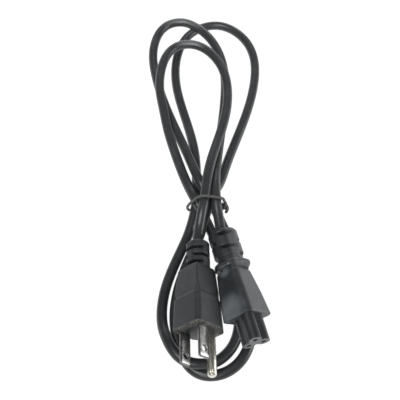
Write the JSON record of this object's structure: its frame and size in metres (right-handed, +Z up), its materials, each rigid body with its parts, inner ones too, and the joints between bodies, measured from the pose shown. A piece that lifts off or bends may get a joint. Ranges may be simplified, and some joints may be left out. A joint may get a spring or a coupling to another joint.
{
  "type": "cloverleaf power cord",
  "caption": "Mains lead folded in a tied hank, with a three-pin plug on one end and a cloverleaf connector on the other, to power a small appliance.",
  "frame": {"origin": "the middle of the whole object's box, on the surface it lies on", "axes": "+Y along the hank, from its plug and connector end to its three-loop end; +Z up; +X to the right with the plug on the left"},
  "size_m": [0.0726, 0.2551, 0.0298],
  "materials": {
    "black_plastic": "fine satin moulded black",
    "nose_plastic": "smooth black",
    "cord_jacket": "satin black jacket",
    "tie_plastic": "dull dark grey",
    "nickel": "satin nickel plate",
    "brass": "plain"
  },
  "bodies": {
    "root": {"plug_body": "black_plastic", "neutral_blade": "nickel", "line_blade": "nickel", "earth_pin": "nickel", "connector_body": "black_plastic", "cloverleaf_nose": "nose_plastic", "contact_line": "brass", "contact_neutral": "brass", "contact_earth": "brass", "cord": "cord_jacket", "cord_tie": "tie_plastic"}
  },
  "joints": []
}
